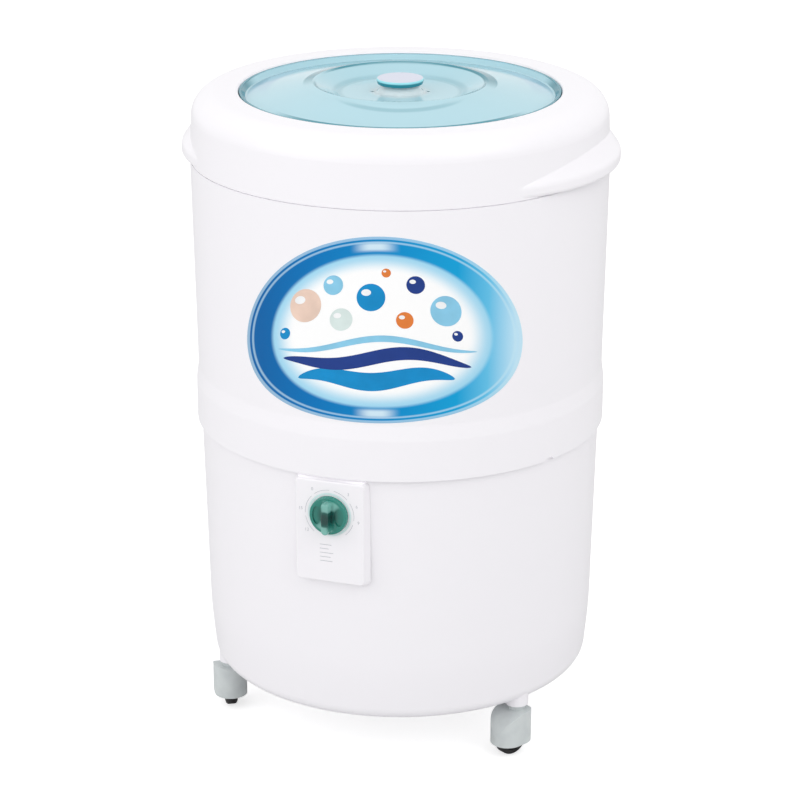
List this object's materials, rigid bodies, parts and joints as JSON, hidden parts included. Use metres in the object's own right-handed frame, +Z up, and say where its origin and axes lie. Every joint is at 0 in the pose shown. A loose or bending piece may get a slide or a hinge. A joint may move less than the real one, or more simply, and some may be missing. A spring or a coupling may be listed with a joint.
{
  "type": "semi-automatic washing machine",
  "caption": "Round, free-standing pulsator washing machine with a lift-off clear lid, timer dial, belt drive, drain spigot and swivel casters.",
  "frame": {"origin": "on the floor under the tub's axis", "axes": "+Z up, -Y towards the front with the timer dial, +X to the right seen from the front"},
  "size_m": [0.454, 0.458, 0.6872],
  "materials": {
    "white_plastic": "glossy moulded polypropylene, white",
    "tub_plastic": "smooth moulded polypropylene, natural white",
    "clear_lid": "clear tinted styrene, polished",
    "teal_knob": "tinted polished plastic",
    "caster_plastic": "moulded nylon, light grey",
    "wheel_plastic": "moulded black polymer",
    "plated_steel": "zinc plated",
    "stainless_steel": "ground bar",
    "rubber": "moulded rubber, matt",
    "bronze": "sintered bronze",
    "black_plastic": "glass-filled nylon",
    "cast_shield": "die cast or drawn",
    "core_steel": "stacked laminations",
    "copper_winding": "enamelled copper wire, taped"
  },
  "bodies": {
    "cabinet": {"base_housing": "white_plastic", "upper_shell": "white_plastic", "top_cover": "white_plastic", "control_panel": "white_plastic", "wash_tub": "tub_plastic", "drain_strainer": "tub_plastic", "drain_elbow": "tub_plastic", "cover_screws": "plated_steel", "panel_screws": "plated_steel", "timer_screws": "plated_steel", "plate_screws": "plated_steel", "capacitor_screw": "plated_steel", "motor_mount_bolts": "plated_steel", "motor_through_bolts": "plated_steel", "drive_plate": "plated_steel", "timer_plate": "plated_steel", "capacitor_clamp": "plated_steel", "caster_retaining_rings": "plated_steel", "drive_belt": "rubber", "shaft_seal": "rubber", "housing_gasket": "rubber", "motor_grommets": "rubber", "drain_grommet": "rubber", "cable_gland": "rubber", "shaft_bushes": "bronze", "motor_bushes": "bronze", "bearing_housing": "black_plastic", "housing_nut": "black_plastic", "timer_case": "black_plastic", "motor_top_shield": "cast_shield", "motor_bottom_shield": "cast_shield", "capacitor": "cast_shield", "motor_stator": "core_steel", "motor_windings": "copper_winding"},
    "lid_body": {"lid": "clear_lid", "lid_knob": "teal_knob", "lid_knob_screw": "plated_steel"},
    "timer_dial": {"timer_knob": "teal_knob", "timer_shaft": "stainless_steel"},
    "pulsator_drive": {"pulsator": "tub_plastic", "pulsator_screw": "stainless_steel", "pulsator_shaft": "stainless_steel", "shaft_circlip": "plated_steel", "driven_pulley": "black_plastic", "pulley_nut": "plated_steel"},
    "motor_drive": {"motor_shaft": "stainless_steel", "motor_rotor": "core_steel", "motor_pulley": "black_plastic"},
    "caster_front_right_swivel": {"caster_front_right_hood": "caster_plastic", "caster_front_right_stem": "plated_steel", "caster_front_right_axle": "plated_steel"},
    "caster_front_right_roll": {"caster_front_right_wheel": "wheel_plastic"},
    "caster_rear_swivel": {"caster_rear_hood": "caster_plastic", "caster_rear_stem": "plated_steel", "caster_rear_axle": "plated_steel"},
    "caster_rear_roll": {"caster_rear_wheel": "wheel_plastic"},
    "caster_front_left_swivel": {"caster_front_left_hood": "caster_plastic", "caster_front_left_stem": "plated_steel", "caster_front_left_axle": "plated_steel"},
    "caster_front_left_roll": {"caster_front_left_wheel": "wheel_plastic"}
  },
  "joints": [
    {"name": "lid_lift", "type": "slide", "parent": "cabinet", "child": "lid_body", "axis": [0, 0, 1], "range_m": [0, 0.15]},
    {"name": "timer_turn", "type": "hinge", "parent": "cabinet", "child": "timer_dial", "pos_m": [0, -0.2136, 0.291], "axis": [0, 1, 0], "range_deg": [0, 300]},
    {"name": "pulsator_spin", "type": "hinge", "parent": "cabinet", "child": "pulsator_drive", "pos_m": [0, 0, 0.186], "axis": [0, 0, 1], "continuous": true},
    {"name": "motor_spin", "type": "hinge", "parent": "cabinet", "child": "motor_drive", "pos_m": [0.115, 0, 0.186], "axis": [0, 0, 1], "continuous": true},
    {"name": "caster_front_right_turn", "type": "hinge", "parent": "cabinet", "child": "caster_front_right_swivel", "pos_m": [0.16108, -0.093, 0.055], "axis": [0, 0, 1], "continuous": true},
    {"name": "caster_front_right_spin", "type": "hinge", "parent": "caster_front_right_swivel", "child": "caster_front_right_roll", "pos_m": [0.15708, -0.09993, 0.019], "axis": [0.866, -0.5, 0], "continuous": true},
    {"name": "caster_rear_turn", "type": "hinge", "parent": "cabinet", "child": "caster_rear_swivel", "pos_m": [0, 0.186, 0.055], "axis": [0, 0, 1], "continuous": true},
    {"name": "caster_rear_spin", "type": "hinge", "parent": "caster_rear_swivel", "child": "caster_rear_roll", "pos_m": [0.008, 0.186, 0.019], "axis": [0, 1, 0], "continuous": true},
    {"name": "caster_front_left_turn", "type": "hinge", "parent": "cabinet", "child": "caster_front_left_swivel", "pos_m": [-0.16108, -0.093, 0.055], "axis": [0, 0, 1], "continuous": true},
    {"name": "caster_front_left_spin", "type": "hinge", "parent": "caster_front_left_swivel", "child": "caster_front_left_roll", "pos_m": [-0.16508, -0.08607, 0.019], "axis": [-0.866, -0.5, 0], "continuous": true}
  ],
  "couplings": [
    {"joint": "motor_spin", "follows": "pulsator_spin", "ratio": 3.25}
  ]
}
